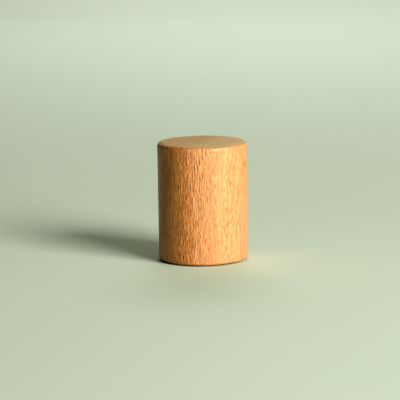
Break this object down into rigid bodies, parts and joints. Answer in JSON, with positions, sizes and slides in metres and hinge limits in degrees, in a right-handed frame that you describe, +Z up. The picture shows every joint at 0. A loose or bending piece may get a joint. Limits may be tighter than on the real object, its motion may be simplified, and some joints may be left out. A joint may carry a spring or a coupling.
{
  "type": "needle case",
  "caption": "Upright turned wooden needle case. A seamless deep cover lifts off a base plug, where a magnet under felt holds sewing needles standing.",
  "frame": {"origin": "middle of the flat underside, on the surface that the case stands on", "axes": "+Z up along the turning axis and longest extent. +X and +Y are level. The bar in the underside runs along X"},
  "size_m": [0.0376, 0.0376, 0.05],
  "materials": {
    "beech": "oiled satin",
    "rubber": "matte",
    "nickel": "polished nickel plating",
    "felt": "pressed wool felt",
    "needle_steel": "polished steel with gilt eyes"
  },
  "bodies": {
    "base": {"base": "beech", "magnet": "nickel", "felt_pad": "felt", "sharps_needle_size_7": "needle_steel", "sharps_needle_size_8": "needle_steel", "sharps_needle_size_9": "needle_steel", "embroidery_needle_size_7": "needle_steel", "embroidery_needle_size_9": "needle_steel", "quilting_needle_size_7": "needle_steel", "quilting_needle_size_8": "needle_steel", "quilting_needle_size_9": "needle_steel", "tapestry_needle_size_24": "needle_steel", "tapestry_needle_size_26": "needle_steel"},
    "friction_ring": {"friction_ring": "rubber"},
    "cover": {"cover": "beech"}
  },
  "joints": [
    {"name": "cover_turn", "type": "hinge", "parent": "base", "child": "friction_ring", "pos_m": [0, 0, 0.0058], "axis": [0, 0, 1], "continuous": true},
    {"name": "cover_lift", "type": "slide", "parent": "friction_ring", "child": "cover", "axis": [0, 0, 1], "range_m": [0, 0.052]}
  ]
}
